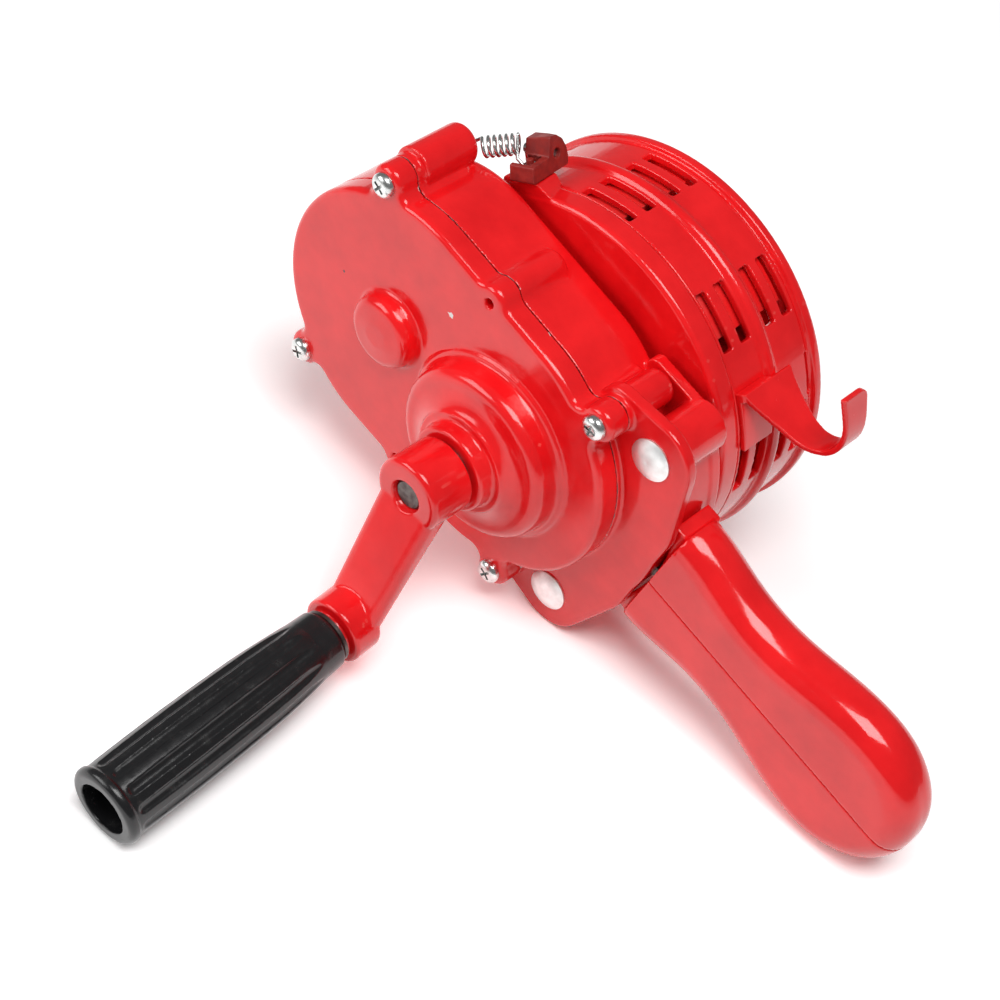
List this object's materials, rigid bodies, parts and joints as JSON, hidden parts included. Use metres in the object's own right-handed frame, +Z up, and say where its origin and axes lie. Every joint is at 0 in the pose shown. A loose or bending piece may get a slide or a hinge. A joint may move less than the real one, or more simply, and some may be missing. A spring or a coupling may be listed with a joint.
{
  "type": "hand crank siren",
  "caption": "Hand-cranked mechanical siren: lobed gear case, geared crank with turning grip, slotted drum around a rotor, belt hook and moulded pistol-style handle.",
  "frame": {"origin": "centre of the bounding box at floor level, the siren lying on the drum bead, the bracket corner and the bulb of the handle", "axes": "+Y along the crank and drum axes from crank to drum, +X toward the end of the handle, +Z up"},
  "size_m": [0.26, 0.2392, 0.1368],
  "materials": {
    "cast_red": "gloss red enamel over die-cast metal",
    "sheet_red": "gloss red enamel on pressed sheet",
    "handle_red": "gloss red enamel over die-cast metal shells",
    "black_grip": "semi-gloss black moulded plastic",
    "zinc": "bright zinc plate",
    "steel": "machined steel",
    "dark_steel": "blackened steel",
    "bronze": "oiled sintered bronze",
    "brass_gear": "cut brass",
    "rotor_red": "red enamel over die-cast metal",
    "brown_red": "dull brownish red moulding"
  },
  "bodies": {
    "housing": {"gear_cover": "cast_red", "gear_case": "cast_red", "cover_screws": "zinc", "crank_bush": "dark_steel", "idler_bush_front": "bronze", "idler_bush_rear": "bronze", "bracket_rivets": "zinc", "handle_upper": "handle_red", "handle_lower": "handle_red", "handle_tang": "steel", "handle_screws": "zinc", "drum_front": "cast_red", "drum_screws": "zinc", "drum_shell": "sheet_red", "rear_cover": "cast_red", "rear_cover_screws": "zinc", "hook": "sheet_red", "front_bearing_outer": "steel", "front_bearing_balls": "steel", "rear_bearing_outer": "steel", "rear_bearing_balls": "steel", "brake_pin": "steel", "brake_spring": "zinc"},
    "brake_lever": {"brake_lever": "brown_red"},
    "crank": {"crank_shaft": "dark_steel", "crank_gear": "steel", "crank_arm": "cast_red", "hub_pin": "steel", "grip_spindle": "steel", "grip_nut": "zinc", "grip_washer": "zinc"},
    "grip": {"grip": "black_grip"},
    "idler": {"idler_shaft": "steel", "idler_pinion": "steel", "idler_spacer": "steel", "idler_gear": "brass_gear"},
    "rotor": {"rotor_shaft": "steel", "rotor_pinion": "steel", "front_bearing_inner": "steel", "rear_bearing_inner": "steel", "rotor": "rotor_red", "rotor_collar": "steel"}
  },
  "joints": [
    {"name": "crank_turn", "type": "hinge", "parent": "housing", "child": "crank", "pos_m": [-0.03751, 0.00423, 0.06449], "axis": [0, 1, 0], "continuous": true},
    {"name": "grip_spin", "type": "hinge", "parent": "crank", "child": "grip", "pos_m": [-0.03448, -0.07447, 0.01616], "axis": [-0.0415, 0.9976, 0.056], "continuous": true},
    {"name": "idler_turn", "type": "hinge", "parent": "housing", "child": "idler", "pos_m": [-0.08593, 0.04523, 0.07696], "axis": [0, 1, 0], "continuous": true},
    {"name": "rotor_turn", "type": "hinge", "parent": "housing", "child": "rotor", "pos_m": [-0.04139, 0.09223, 0.06549], "axis": [0, 1, 0], "continuous": true},
    {"name": "brake_swing", "type": "hinge", "parent": "housing", "child": "brake_lever", "pos_m": [-0.07725, 0.08067, 0.12931], "axis": [-0.9051, -0.0993, -0.4134], "range_deg": [0, 8], "stiffness_Nm_per_rad": 0.05, "springref_deg": -5.73, "deforming": ["brake_spring"]}
  ],
  "couplings": [
    {"joint": "idler_turn", "follows": "crank_turn", "ratio": -4},
    {"joint": "rotor_turn", "follows": "crank_turn", "ratio": 19}
  ]
}
